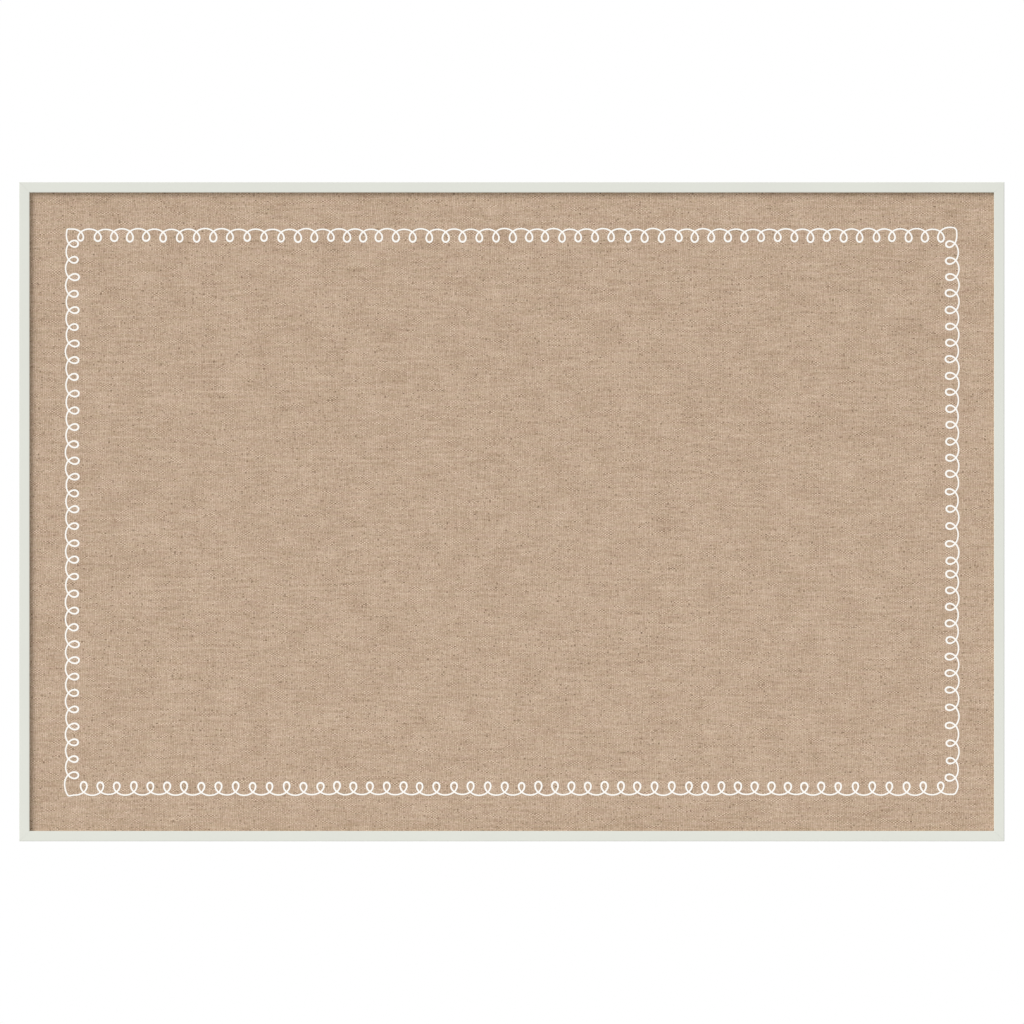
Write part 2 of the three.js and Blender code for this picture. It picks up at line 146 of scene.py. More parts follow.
def copy_of(node, name):
    """A copy of a CAD node's mesh as a new piece, merged and open in edit mode."""
    piece = bpy.data.objects.new(name, frame["nodes"][node].data.copy())
    bpy.context.scene.collection.objects.link(piece)
    bpy.ops.object.select_all(action="DESELECT")
    piece.select_set(True)
    bpy.context.view_layer.objects.active = piece
    bpy.ops.mesh.customdata_custom_splitnormals_clear()
    bpy.ops.object.mode_set(mode="EDIT")
    bpy.ops.mesh.select_all(action="SELECT")
    bpy.ops.mesh.remove_doubles(threshold=merge_gap)
    bpy.ops.mesh.dissolve_limited(angle_limit=flat_angle)
    return piece


def pick_edges(piece, test):
    """Selects the edges that pass a test, on a piece that is open in edit mode."""
    bpy.ops.mesh.select_mode(type="EDGE")
    bpy.ops.mesh.select_all(action="DESELECT")
    mesh = bmesh.from_edit_mesh(piece.data)
    for edge in mesh.edges:
        edge.select_set(test(edge))
    mesh.select_flush_mode()
    bmesh.update_edit_mesh(piece.data)


def smooth(piece):
    """Takes a piece out of edit mode and shades its rounded edges smooth, with its broad faces flat."""
    bpy.ops.object.mode_set(mode="OBJECT")
    bpy.ops.object.shade_smooth_by_angle(angle=crease_angle)
    flat = piece.modifiers.new("flat_faces", "WEIGHTED_NORMAL")
    flat.keep_sharp = True
    bpy.ops.object.modifier_apply(modifier=flat.name)


def soften(piece, width, shortest):
    """Rounds the sharp edges that are longer than the shortest."""
    pick_edges(piece, lambda edge: edge.calc_length() > shortest and edge.calc_face_angle(0) > sharp_angle)
    bpy.ops.mesh.bevel(offset=width, segments=2, affect="EDGES", clamp_overlap=True)
    smooth(piece)


def fix(piece, body, slot, material, *nodes):
    """Puts a finished piece on its body, in place of the nodes that it stands for."""
    dress(piece, material)
    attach(piece, body)
    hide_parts(*nodes)


def pine(along):
    """Planed pine: honey-pale early wood, thin late-wood lines with one hard side, and fine streaks."""
    made, tree = new_material("pine_along_" + along)
    place = add(tree, "TexCoord", {}).outputs["Object"]
    slow, fast = 0.03, 0.012
    ring_pull = (slow, 1, 1) if along == "x" else (1, 1, slow)
    streak_pull = (fast, 1, 1) if along == "x" else (1, 1, fast)
    across = "Z" if along == "x" else "X"
    ring_width = 5 * MM
    streak_width = 0.8 * MM
    warm_patch = 28 * MM
    wave_length = 2 * math.pi / 20
    ring_place = add(tree, "Mapping", {"Vector": place, "Scale": ring_pull})
    rings = add(
        tree, "TexWave",
        {"Vector": ring_place, "Scale": wave_length / ring_width, "Distortion": 7, "Detail": 2,
         "Detail Scale": 0.5},
        bands_direction=across, wave_profile="SAW")
    streak_place = add(tree, "Mapping", {"Vector": place, "Scale": streak_pull})
    streaks = add(tree, "TexNoise", {"Vector": streak_place, "Scale": 1 / streak_width, "Detail": 4})
    warmth = add(tree, "TexNoise", {"Vector": ring_place, "Scale": 1 / warm_patch, "Detail": 1})
    early = add(tree, "MixRGB", {"Fac": warmth, "Color1": colour("#d9ba8c"), "Color2": colour("#e6cca4")})
    late = add(tree, "Math", {0: rings, 1: 8}, operation="POWER")
    ring_strength = add(tree, "Math", {0: late, 1: 0.55}, operation="MULTIPLY")
    grain = add(tree, "MixRGB", {"Fac": ring_strength, "Color1": early, "Color2": colour("#b5854a")})
    pores = add(tree, "MapRange", {"Value": streaks, "From Min": 0.5, "From Max": 0.75, "To Max": 0.4})
    tone = add(tree, "MixRGB", {"Fac": pores, "Color1": grain, "Color2": colour("#b08a58")})
    planed = add(tree, "Bump", {"Height": streaks, "Strength": 0.15, "Distance": 0.1 * MM})
    shader = add(tree, "BsdfPrincipled", {"Base Color": tone, "Roughness": 0.62, "Normal": planed})
    add(tree, "OutputMaterial", {"Surface": shader})
    return made


for grain, battens in (
    ("x", ("strainer_batten_top", "strainer_batten_bottom")),
    ("z", ("strainer_batten_left", "strainer_batten_right", "strainer_centre_brace")),
):
    wood = pine(grain)
    for node in battens:
        batten = copy_of(node, "planed_" + node.removeprefix("strainer_"))
        soften(batten, batten_arris, shortest_batten_edge)
        fix(batten, "board", "pine", wood, node)

# Linen cover
# One piece of natural linen, stretched over the softboard, folded round the edge and turned onto the
# back of the strainer. Its corners are folded in a mitre there, and its cut edge is left raw.
linen_low, linen_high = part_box("linen_cover")
linen_thickness = 0.7 * MM
linen_return = 18 * MM
fold_radius = 1.2 * MM
mitre_slit = 0.15 * MM
raw_edge_cuts = 140
raw_edge_wander = 0.3 * MM
nearly_straight = 0.9
linen_depth = linen_high.y - linen_low.y

bpy.ops.object.select_all(action="DESELECT")
bpy.ops.mesh.primitive_plane_add(size=2, location=(0, linen_low.y, 0), rotation=(math.pi / 2, 0, 0))
linen = bpy.context.active_object
linen.name = "stretched_linen"
linen.scale = (linen_high.x, linen_high.z, 1)
bpy.ops.object.transform_apply(location=True, rotation=True, scale=True)
bpy.ops.object.mode_set(mode="EDIT")
pick_edges(linen, lambda edge: True)
bpy.ops.mesh.extrude_edges_move(TRANSFORM_OT_translate={"value": (0, linen_depth, 0)})
bpy.ops.mesh.extrude_edges_move(TRANSFORM_OT_translate={"value": (0, 0, 0)})
bpy.ops.transform.resize(
    value=(1 - linen_return / linen_high.x, 1, 1 - linen_return / linen_high.z),
    center_override=(0, linen_high.y, 0))
bpy.ops.mesh.select_all(action="SELECT")
bpy.ops.mesh.normals_make_consistent(inside=False)


def on_outside(point):
    """Whether a corner of the cloth is on its folds and not on its raw edge."""
    return abs(point.x) > linen_high.x - linen_return / 2


pick_edges(linen, lambda edge: all(on_outside(end.co) for end in edge.verts))
bpy.ops.mesh.bevel(offset=fold_radius, segments=3, affect="EDGES")
mitre_reach = linen_return / 2


def on_mitre(edge):
    """Whether an edge is one of the four slanted ones on the turned-over border."""
    run = edge.verts[1].co - edge.verts[0].co
    return min(abs(run.x), abs(run.z)) > mitre_reach


pick_edges(linen, on_mitre)
bpy.ops.mesh.bevel(offset=mitre_slit, segments=1, affect="EDGES")
bpy.ops.mesh.select_mode(type="FACE")
bpy.ops.mesh.select_all(action="DESELECT")
cloth = bmesh.from_edit_mesh(linen.data)
for face in cloth.faces:
    run = max((edge.verts[1].co - edge.verts[0].co for edge in face.edges), key=lambda step: step.length)
    face.select_set(face.normal.y > nearly_straight and min(abs(run.x), abs(run.z)) > mitre_reach)
bmesh.update_edit_mesh(linen.data)
bpy.ops.mesh.delete(type="FACE")
opening = (linen_high.x - linen_return, linen_high.z - linen_return)


def on_raw_edge(point):
    """Whether a point of the cloth is on its cut edge."""
    inside = abs(point.x) < opening[0] + mitre_slit and abs(point.z) < opening[1] + mitre_slit
    return inside and abs(point.y - linen_high.y) < mitre_slit


pick_edges(linen, lambda edge: all(on_raw_edge(end.co) for end in edge.verts))
bpy.ops.mesh.subdivide(number_cuts=raw_edge_cuts, ngon=True)
chance = random.Random(4)
cloth = bmesh.from_edit_mesh(linen.data)
for point in cloth.verts:
    if on_raw_edge(point.co):
        wander = chance.uniform(-raw_edge_wander, raw_edge_wander)
        if abs(point.co.x) / opening[0] > abs(point.co.z) / opening[1]:
            point.co.x += wander
        else:
            point.co.z += wander
flat_cloth = cloth.loops.layers.uv.new("flat_cloth")
for face in cloth.faces:
    middle = face.calc_center_median()
    beside = linen_high.x - abs(middle.x) < linen_high.z - abs(middle.z)
    for corner in face.loops:
        at = corner.vert.co
        if face.normal.y < -nearly_straight:
            corner[flat_cloth].uv = (at.x, at.z)
            continue
        behind = 1 if at.y > (linen_low.y + linen_high.y) / 2 else -1
        down = at.y - linen_low.y
        if beside:
            reach = linen_high.x + down + behind * (linen_high.x - abs(at.x))
            corner[flat_cloth].uv = (math.copysign(reach, at.x), at.z)
        else:
            reach = linen_high.z + down + behind * (linen_high.z - abs(at.z))
            corner[flat_cloth].uv = (at.x, math.copysign(reach, at.z))
bmesh.update_edit_mesh(linen.data)
bpy.ops.object.mode_set(mode="OBJECT")
thicken = linen.modifiers.new("cloth", "SOLIDIFY")
thicken.thickness = linen_thickness
thicken.offset = -1
thicken.use_even_offset = True
bpy.ops.object.modifier_apply(modifier=thicken.name)
smooth(linen)

# Real linen of this weight has a thread about every 0.6 mm, which is finer than a pixel of the render,
# so its threads are drawn two to three times as wide.
warp_spacing = 1.6 * MM
weft_spacing = 1.1 * MM
yarn_dip = 0.4
stretch_length = 2.2 * MM
slub_length = 22 * MM
band_length = 32 * MM
fibre_length = 4.5 * MM
fibre_width = 0.15 * MM
fleck_length = 3 * MM
wander_length = 16 * MM
wander_reach = 3 * MM
open_width = 16 * MM
open_height = 5 * MM
cloud_size = 30 * MM


def woven_linen():
    """Natural linen: a matt plain weave of uneven flax yarn, with slubs, dark flecks and soft clouds."""
    made, tree = new_material("woven_linen")
    flat = add(tree, "UVMap", {}, uv_map="flat_cloth")
    middle_grey = (0.5, 0.5, 0.5)
    drift = add(tree, "TexNoise", {"Vector": flat, "Scale": 1 / wander_length, "Detail": 1})
    centred = add(tree, "VectorMath", {0: drift.outputs["Color"], 1: middle_grey}, operation="SUBTRACT")
    wander = add(tree, "VectorMath", {0: centred, "Scale": wander_reach}, operation="SCALE")
    yarn = add(tree, "VectorMath", {0: flat, 1: wander}, operation="ADD")
    threads = add(tree, "VectorMath", {0: yarn, 1: (warp_spacing, weft_spacing, 1)}, operation="DIVIDE")
    place = add(tree, "SeparateXYZ", {"Vector": yarn})
    count = add(tree, "SeparateXYZ", {"Vector": threads})

    # Each yarn has a round back and rises and dips as it crosses the others, and the higher one shows. That
    # height gives the bump, and it is also painted into the colour as shade.
    turns = [add(tree, "Math", {0: count.outputs[i], 1: math.pi}, operation="MULTIPLY") for i in (0, 1)]
    waves = [add(tree, "Math", {0: turn}, operation="SINE") for turn in turns]
    backs = [add(tree, "Math", {0: wave}, operation="ABSOLUTE") for wave in waves]
    sides = [add(tree, "Math", {0: wave}, operation="SIGN") for wave in waves]
    over = add(tree, "Math", {0: waves[0], 1: waves[1]}, operation="MULTIPLY")
    warp_rise = add(tree, "Math", {0: sides[0], 1: waves[1]}, operation="MULTIPLY")
    weft_rise = add(tree, "Math", {0: sides[1], 1: waves[0]}, operation="MULTIPLY")
    warp_level = add(tree, "Math", {0: warp_rise, 1: yarn_dip, 2: backs[0]}, operation="MULTIPLY_ADD")
    weft_level = add(tree, "Math", {0: weft_rise, 1: -yarn_dip, 2: backs[1]}, operation="MULTIPLY_ADD")
    warp_on_top = add(tree, "Math", {0: warp_level, 1: weft_level}, operation="GREATER_THAN")
    top_level = add(tree, "Math", {0: warp_level, 1: weft_level}, operation="MAXIMUM")
    relief_and_painted_shade = add(tree, "MapRange", {"Value": top_level, "From Min": 0.2, "From Max": 1 + yarn_dip})

    # What varies along a yarn is read once along the warp and once along the weft: the stretch between two
    # crossings, slubs, single fibres and flecks. Threads lie an odd step apart in it, so each has its own.
    column, row = [add(tree, "Math", {0: count.outputs[i]}, operation="FLOOR") for i in (0, 1)]
    warp_run = add(tree, "CombineXYZ", {"X": column, "Y": place.outputs[1]})
    weft_run = add(tree, "CombineXYZ", {"X": place.outputs[0], "Y": row})
    varied = []
    for warp_path, weft_path, across, along in (
        (warp_run, weft_run, 0.73, 1 / stretch_length),
        (warp_run, weft_run, 0.57, 1 / slub_length),
        (yarn, yarn, 1 / fibre_width, 1 / fibre_length),
        (warp_run, weft_run, 0.83, 1 / fleck_length),
    ):
        warp_place = add(tree, "Mapping", {"Vector": warp_path, "Scale": (across, along, 1)})
        weft_place = add(tree, "Mapping", {"Vector": weft_path, "Scale": (along, across, 1)})
        warp_noise = add(tree, "TexNoise", {"Vector": warp_place, "Scale": 1, "Detail": 1})
        weft_noise = add(tree, "TexNoise", {"Vector": weft_place, "Scale": 1, "Detail": 1})
        varied.append(add(tree, "MixRGB", {"Fac": warp_on_top, "Color1": weft_noise, "Color2": warp_noise}))
    stretches, slubs, fibres, fleck_noise = varied

    # Patches where the weave lies open show light and dark crossings, and thick weft yarns show as bands.
    open_place = add(tree, "Mapping", {"Vector": flat, "Scale": (1 / open_width, 1 / open_height, 1)})
    open_noise = add(tree, "TexNoise", {"Vector": open_place, "Scale": 1, "Detail": 2})
    open_weave = add(tree, "MapRange", {
        "Value": open_noise, "From Min": 0.52, "From Max": 0.68, "To Min": 0.03, "To Max": 0.45})
    band_place = add(tree, "Mapping", {"Vector": weft_run, "Scale": (1 / band_length, 0.41, 1)})
    bands = add(tree, "TexNoise", {"Vector": band_place, "Scale": 1, "Detail": 2})
    clouds = add(tree, "TexNoise", {"Vector": flat, "Scale": 1 / cloud_size, "Detail": 6, "Roughness": 0.7})
    tone = add(tree, "Math", {0: over, 1: open_weave, 2: 0.5}, operation="MULTIPLY_ADD")
    # The relief goes into the colour as painted shade, lighter on the tops of the yarns and darker in the
    # dips between crossings. The other parts are the yarns' own tone.
    for part, weight in (
        (relief_and_painted_shade, 0.42), (stretches, 0.67), (slubs, 0.28), (fibres, 0.34), (bands, 0.33), (clouds, 0.29),
    ):
        offset = add(tree, "Math", {0: part, 1: 0.5}, operation="SUBTRACT")
        tone = add(tree, "Math", {0: offset, 1: weight, 2: tone}, operation="MULTIPLY_ADD")
    shade = add(tree, "ValToRGB", {"Fac": tone})
    stops = shade.color_ramp.elements
    stops[0].color = colour("#6e4f34")
    stops[1].color = colour("#e8d1bb")
    stops.new(0.5).color = colour("#b9a088")
    flecks = add(tree, "MapRange", {
        "Value": fleck_noise, "From Min": 0.64, "From Max": 0.73, "To Max": 0.68})
    flecked = add(tree, "MixRGB", {"Fac": flecks, "Color1": shade, "Color2": colour("#5a442e")})
    dye = add(tree, "TexNoise", {"Vector": band_place, "Scale": 3, "Detail": 1}).outputs["Color"]
    tinted = add(tree, "MixRGB", {"Fac": 0.08, "Color1": flecked, "Color2": dye}, blend_type="SOFT_LIGHT")
    rise = add(tree, "Bump", {"Height": relief_and_painted_shade, "Strength": 0.4, "Distance": 0.3 * MM})
    shader = add(tree, "BsdfPrincipled", {
        "Base Color": tinted, "Roughness": 0.95, "Specular IOR Level": 0.2, "Normal": rise})
    add(tree, "OutputMaterial", {"Surface": shader})
    return made


fix(linen, "board", "linen", woven_linen(), "linen_cover")

# Staples
# Flat-topped wire staples, shot through the linen's border into the battens. Each is one length of
# zinc-coated steel wire, bent twice.
staple_crown = 10 * MM
staple_wire = 0.7 * MM
staple_bend = 0.55 * MM
staple_bend_steps = 4
staple_leg_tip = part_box("linen_staple_top_1")[0].y
staple_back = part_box("linen_staple_top_1")[1].y


def zinc_steel():
    """Zinc-plated steel: a pale grey metal, lightly clouded and a little dull from the plating bath."""
    made, tree = new_material("zinc_plated_steel")
    place = add(tree, "TexCoord", {}).outputs["Object"]
    bloom_size = 2.5 * MM
    bloom = add(tree, "TexNoise", {"Vector": place, "Scale": 1 / bloom_size, "Detail": 3})
    tone = add(tree, "MixRGB", {"Fac": bloom, "Color1": colour("#a9acae"), "Color2": colour("#cfd1d2")})
    dull = add(tree, "MapRange", {"Value": bloom, "To Min": 0.28, "To Max": 0.5})
    shader = add(tree, "BsdfPrincipled", {"Base Color": tone, "Metallic": 1, "Roughness": dull})
    add(tree, "OutputMaterial", {"Surface": shader})
    return made


def pull(step):
    """Extrudes the selected end of a piece by a step."""
    bpy.ops.mesh.extrude_region_move(TRANSFORM_OT_translate={"value": step})


def bend(angle, centre, axis, steps):
    """Spins the selected end of a piece round a centre, clockwise about the axis."""
    bpy.ops.mesh.spin(steps=steps, angle=angle, center=centre, axis=axis)


steel = zinc_steel()
bpy.ops.object.select_all(action="DESELECT")
wire_at = (staple_crown - staple_wire) / 2
crown_level = staple_back - staple_wire / 2
bpy.ops.mesh.primitive_plane_add(
    size=staple_wire, location=(-wire_at, staple_leg_tip, 0), rotation=(math.pi / 2, 0, 0))
staple = bpy.context.active_object
bpy.ops.object.transform_apply(location=True, rotation=True, scale=True)
bpy.ops.object.mode_set(mode="EDIT")
bpy.ops.mesh.select_all(action="SELECT")
pull((0, crown_level - staple_bend - staple_leg_tip, 0))
bend(math.pi / 2, (staple_bend - wire_at, crown_level - staple_bend, 0), (0, 0, 1), staple_bend_steps)
pull((2 * (wire_at - staple_bend), 0, 0))
bend(math.pi / 2, (wire_at - staple_bend, crown_level - staple_bend, 0), (0, 0, 1), staple_bend_steps)
pull((0, staple_leg_tip - crown_level + staple_bend, 0))
bpy.ops.mesh.select_all(action="SELECT")
bpy.ops.mesh.remove_doubles(threshold=merge_gap)
bpy.ops.mesh.normals_make_consistent(inside=False)
smooth(staple)
for node in [name for name in frame["nodes"] if name.startswith("linen_staple_")]:
    low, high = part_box(node)
    wire = bpy.data.objects.new("wire_" + node.removeprefix("linen_"), staple.data.copy())
    bpy.context.scene.collection.objects.link(wire)
    turn = Matrix.Rotation(math.pi / 2, 4, "Y") if high.z - low.z > high.x - low.x else Matrix.Identity(4)
    middle = (low + high) / 2
    wire.data.transform(Matrix.Translation((middle.x, 0, middle.z)) @ turn)
    fix(wire, "board", "zinc_steel", steel, node)
bpy.data.objects.remove(staple)

# Loop border
# One white line, screen printed round the linen before it was stretched, with a small loop at each
# scallop. It follows a curled wave that was drawn by hand, so no two loops are quite alike.
arc_half_line = 0.68 * MM
loop_half_line = 0.85 * MM
curl_reach = 6.33 * MM
curl_rise = 5.87 * MM
ink_thickness = 0.15 * MM
ink_edge = 0.05 * MM
loop_steps = 28
corner_steps = 6
small_first_loop = 0.8
# How unevenly the loops were drawn: the first two as shares, the rest in millimetres
uneven_depth = 0.1
uneven_reach = 0.035
uneven_lean = 0.35
uneven_pitch = 0.2
uneven_level = 0.45
# A side runs clockwise. These are how far it is from the middle, how many loops it has, where the first
# and the last one are, and how far some of the loops have drifted along it, by their number.
border_sides = [
    (262.45, 53, -399, 397.8,
     {0: -0.7, 5: -1.4, 14: 1.4, 18: 0.1, 27: 1.4, 30: 1, 40: 2.1, 46: 2.2, 52: 0.3}),
    (414.67, 33, -248.45, 247.25,
     {0: 0.2, 14: -3.1, 16: -2.2, 19: 0.3, 20: -3.8, 26: -4.4, 28: -3.6, 32: 0}),
    (262.8, 52, -397.7, 397.4,
     {0: -0.1, 8: 1.5, 15: -0.2, 19: 0.2, 24: -1.2, 30: -0.2, 38: -1.6, 45: 0.3, 51: 0}),
    (413.85, 33, -244.75, 248.65,
     {0: 0.1, 9: -1.2, 15: 0, 20: -0.8, 24: 0, 32: 0.1}),
]
# The corner where each side starts: its place, its rounding, how many degrees the line leans outwards on
# its way in and on its way out, and how far out the arcs before and after it stand.
border_corners = [
    (-412.7, 262.35, 1.2, -8, 0, -0.45, -0.15),
    (412.6, 262.9, 2.5, -15, 5, 1.45, -1.67),
    (411.3, -262.3, 2, -27, 0, -0.67, -0.5),
    (-411.6, -263.9, 1.2, 10, 32, 0.1, 1.15),
]
# The steps of a loop on its way in and on its way out, without those round its tip
steps_in = range(loop_steps // 2 - 3)
steps_out = range(loop_steps // 2 + 3, loop_steps)
nearly_parallel = 1e-15
along_side = Vector((1, 0))
hand = random.Random(11)


def both_edges(middle_line, half_lines, first_way, last_way):
    """The outer and the inner edge of a stretch of the line, which starts and ends in the ways given."""
    last_step = len(middle_line) - 1
    outer, inner = [], []
    for k, point in enumerate(middle_line):
        way = (middle_line[min(k + 1, last_step)] - middle_line[max(k - 1, 0)]).normalized()
        if k == 0:
            way = first_way
        if k == last_step:
            way = last_way
        left = Vector((-way.y, way.x))
        outer.append(point + left * half_lines[k])
        inner.append(point - left * half_lines[k])
    return outer, inner


def curl(before, centre, after, left_level, right_level, size):
    """One loop of the line from the arc's top before it to the arc's top after it, as its two edges."""
    depth = curl_rise * size * (1 + hand.uniform(-uneven_depth, uneven_depth))
    reach = curl_reach * (1 + (size - 1) / 2) * (1 + hand.uniform(-uneven_reach, uneven_reach))
    lean = hand.uniform(-uneven_lean, uneven_lean) * MM
    middle_line, half_lines = [], []
    for k in range(loop_steps + 1):
        t = math.pi * (2 * k / loop_steps - 1)
        half_span, level = (centre - before, left_level) if t < 0 else (after - centre, right_level)
        lift = (1 - math.cos(t)) / 2
        along = centre + half_span * t / math.pi - reach * math.sin(t) + lean * (1 - lift)
        across = (curl_rise + level) * lift - depth * (1 - lift) - curl_rise
        middle_line.append(Vector((along, across)))
        half_lines.append(arc_half_line * lift + loop_half_line * (1 - lift))
    return both_edges(middle_line, half_lines, along_side, along_side)


def meeting(edge_in, edge_out):
    """Where an edge on its way into a loop crosses one on its way out: the point, and the step of each."""
    for i in steps_in:
        a, along = edge_in[i], edge_in[i + 1] - edge_in[i]
        for j in steps_out:
            c, other = edge_out[j], edge_out[j + 1] - edge_out[j]
            spread = along.cross(other)
            if abs(spread) < nearly_parallel:
                continue
            s = (c - a).cross(other) / spread
            t = (c - a).cross(along) / spread
            if 0 <= s <= 1 and 0 <= t <= 1:
                return a + along * s, i, j
    raise ValueError("the two edges of the loop do not cross")


def leaning(degrees):
    """The way along a side that leans outwards by some degrees."""
    return Vector((math.cos(math.radians(degrees)), math.sin(math.radians(degrees))))


def sweep(start, start_way, end, end_way):
    """The middle of the line where it runs from one point to another in a smooth curve."""
    handle = (end - start).length / 3
    start_handle = start + start_way * handle
    end_handle = end - end_way * handle
    return interpolate_bezier(start, start_handle, end_handle, end, corner_steps + 1)


def on_board(points, turn, stand):
    """Points along a side, with y outwards from its line, at their places on the board."""
    quarter = Matrix.Rotation(-turn * math.pi / 2, 2)
    return [quarter @ (point + Vector((0, stand))) for point in points]


def on_side(x, z, turn, stand):
    """A place on the board, as a side has it: along the side, and outwards from its line."""
    return Matrix.Rotation(turn * math.pi / 2, 2) @ Vector((x * MM, z * MM)) - Vector((0, stand))


outside, inside, holes = [], [], []
for turn, (distance, loops, first, last, drift) in enumerate(border_sides):
    stand = distance * MM
    knots = sorted(drift)
    centres = []
    for i in range(loops):
        late = next(k for k in knots[1:] if k >= i)
        early = max(k for k in knots if k < late)
        slide = drift[early] + (drift[late] - drift[early]) * (i - early) / (late - early)
        even = first + (last - first) * i / (loops - 1)
        centres.append((even + slide + hand.gauss(0, uneven_pitch)) * MM)
    half_pitch = (last - first) / (loops - 1) / 2 * MM
    tops = [(a + b) / 2 for a, b in zip(centres, centres[1:])]
    tops = [centres[0] - half_pitch, *tops, centres[-1] + half_pitch]
    levels = [hand.uniform(-uneven_level, uneven_level) * MM for _ in tops]

    # The corner and the arc after it
    x, z, rounding, lean_in, lean_out, _, level_out = border_corners[turn]
    levels[0] = level_out * MM
    corner = on_side(x, z, turn, stand)
    way_in = leaning(90 + lean_in)
    way_out = leaning(lean_out)
    round_end = corner + way_out * rounding * MM
    round_part = sweep(corner - way_in * rounding * MM, way_in, round_end, way_out)
    run_out = sweep(round_end, way_out, Vector((tops[0], levels[0])), along_side)
    corner_line = round_part + run_out[1:]
    outer, inner = both_edges(corner_line, [arc_half_line] * len(corner_line), way_in, along_side)
    outside.extend(on_board(outer, turn, stand))
    inside.extend(on_board(inner, turn, stand))

    # The loops, and the arc before the next corner
    x, z, rounding, lean_in, _, level_in, _ = border_corners[(turn + 1) % 4]
    levels[-1] = level_in * MM
    for i in range(loops):
        size = small_first_loop if turn == 0 and i == 0 else 1
        outer, inner = curl(tops[i], centres[i], tops[i + 1], levels[i], levels[i + 1], size)
        notch, notch_in, notch_out = meeting(outer, outer)
        apex, apex_in, apex_out = meeting(inner, inner)
        left_pit, left_in, left_out = meeting(inner, outer)
        right_pit, right_in, right_out = meeting(outer, inner)
        round_loop = outer[right_in + 1:left_out + 1][::-1]
        outer_run = [*outer[:notch_in + 1], notch, *outer[notch_out + 1:]]
        inner_run = [*inner[:left_in + 1], left_pit, *round_loop, right_pit, *inner[right_out + 1:]]
        outside.extend(on_board(outer_run, turn, stand))
        inside.extend(on_board(inner_run, turn, stand))
        holes.append(on_board([apex, *inner[apex_in + 1:apex_out + 1]], turn, stand))
    corner = on_side(x, z, turn, stand)
    way_in = leaning(lean_in)
    last_top = Vector((tops[-1], levels[-1]))
    corner_line = sweep(last_top, along_side, corner - way_in * rounding * MM, way_in)
    outer, inner = both_edges(corner_line, [arc_half_line] * len(corner_line), along_side, way_in)
    outside.extend(on_board(outer, turn, stand))
    inside.extend(on_board(inner, turn, stand))

line = bpy.data.curves.new("printed_line", "CURVE")
line.dimensions = "2D"
line.fill_mode = "BOTH"
line.extrude = ink_thickness / 2 - ink_edge
line.bevel_depth = ink_edge
line.bevel_resolution = 0
line.offset = -ink_edge
for ring in [outside, inside, *holes]:
    points = line.splines.new("POLY").points
    points.add(len(ring) - 1)
    for point, at in zip(points, ring):
        point.co = (at.x, at.y, 0, 1)
    line.splines[-1].use_cyclic_u = True
border = bpy.data.objects.new("printed_loop_border", line)
bpy.context.scene.collection.objects.link(border)
bpy.ops.object.select_all(action="DESELECT")
border.select_set(True)
bpy.context.view_layer.objects.active = border
bpy.ops.object.convert(target="MESH")
border.rotation_euler = (math.pi / 2, 0, 0)
border.location = (0, linen_low.y - ink_thickness / 2, 0)
bpy.ops.object.transform_apply(location=True, rotation=True, scale=True)
bpy.ops.object.mode_set(mode="EDIT")
bpy.ops.mesh.select_all(action="SELECT")
bpy.ops.mesh.remove_doubles(threshold=merge_gap)
bpy.ops.mesh.normals_make_consistent(inside=False)
bpy.ops.object.mode_set(mode="OBJECT")


def white_ink():
    """Screen-printing ink: an opaque, flat white film that follows the threads under it."""
    made, tree = new_material("white_printing_ink")
    place = add(tree, "TexCoord", {}).outputs["Object"]
    film_grain = 1.5 * MM
    film = add(tree, "TexNoise", {"Vector": place, "Scale": 1 / film_grain, "Detail": 2})
    tone = add(tree, "MixRGB", {"Fac": film, "Color1": colour("#f7f4ee"), "Color2": colour("#fefcf8")})
    cloth_below = add(tree, "Bump", {"Height": film, "Strength": 0.15, "Distance": 0.1 * MM})
    shader = add(tree, "BsdfPrincipled", {
        "Base Color": tone, "Roughness": 0.7, "Specular IOR Level": 0.25, "Normal": cloth_below})
    add(tree, "OutputMaterial", {"Surface": shader})
    return made


fix(border, "board", "ink", white_ink(), "loop_border")

# Frame rails
# Four slim wooden mouldings with a rebate behind, mitred at the corners. They were sprayed off-white
# after they were joined, so the paint is even and satin, with softened edges.
rail_round = 0.18 * MM
shortest_rail_edge = 200 * MM
seam_filling = 0.02 * MM


def satin_paint():
    """Sprayed satin paint on wood: a plain off-white with a very fine orange peel."""
    made, tree = new_material("satin_paint")
    place = add(tree, "TexCoord", {}).outputs["Object"]
    peel_size = 1.8 * MM
    coat_size = 60 * MM
    peel = add(tree, "TexNoise", {"Vector": place, "Scale": 1 / peel_size, "Detail": 2})
    coat = add(tree, "TexNoise", {"Vector": place, "Scale": 1 / coat_size, "Detail": 3})
    tone = add(tree, "MixRGB", {"Fac": coat, "Color1": colour("#d9dad2"), "Color2": colour("#dddfd6")})
    gloss = add(tree, "MapRange", {"Value": peel, "To Min": 0.38, "To Max": 0.52})
    skin = add(tree, "Bump", {"Height": peel, "Strength": 0.08, "Distance": 0.05 * MM})
    shader = add(tree, "BsdfPrincipled", {"Base Color": tone, "Roughness": gloss, "Normal": skin})
    add(tree, "OutputMaterial", {"Surface": shader})
    return made


paint = satin_paint()
for side in ("top", "right", "bottom", "left"):
    low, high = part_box("frame_rail_" + side)
    rail = copy_of("frame_rail_" + side, "painted_rail_" + side)
    bpy.ops.mesh.select_all(action="SELECT")
    if side in ("top", "bottom"):
        bpy.ops.transform.resize(value=(1 + seam_filling / high.x, 1, 1), center_override=(0, 0, 0))
    else:
        bpy.ops.transform.resize(value=(1, 1, 1 + seam_filling / high.z), center_override=(0, 0, 0))
    soften(rail, rail_round, shortest_rail_edge)
    fix(rail, "board", "painted_wood", paint, "frame_rail_" + side)

